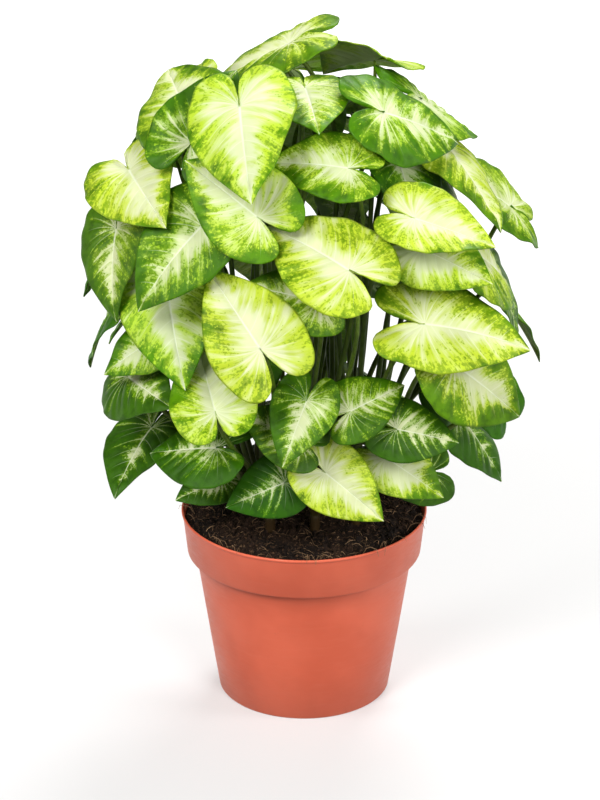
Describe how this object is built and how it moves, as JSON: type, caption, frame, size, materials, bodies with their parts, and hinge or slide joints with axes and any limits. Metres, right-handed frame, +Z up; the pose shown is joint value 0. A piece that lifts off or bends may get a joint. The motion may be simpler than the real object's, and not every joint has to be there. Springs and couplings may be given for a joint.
{
  "type": "potted arrowhead plant",
  "caption": "Bushy arrowhead plant with cream-splashed, arrow-shaped leaves on slender stalks, rooted in soil in a round collared nursery pot.",
  "frame": {"origin": "centre of the underside of the pot's foot, on the surface that the pot stands on", "axes": "+Z up along the pot's axis, -Y towards the side that the leaves turn to and that the picture shows, +X to the right as seen from there"},
  "size_m": [0.2227, 0.22, 0.3344],
  "materials": {
    "pot_plastic": "satin",
    "peat": "rough",
    "foliage": "satin"
  },
  "bodies": {
    "root": {"pot": "pot_plastic", "soil": "peat", "leafy_stem_1": "foliage", "leafy_stem_2": "foliage", "leafy_stem_3": "foliage", "leafy_stem_4": "foliage", "leafy_stem_5": "foliage", "leafy_stem_6": "foliage", "leafy_stem_7": "foliage", "leafy_stem_8": "foliage", "leafy_stem_9": "foliage"}
  },
  "joints": []
}
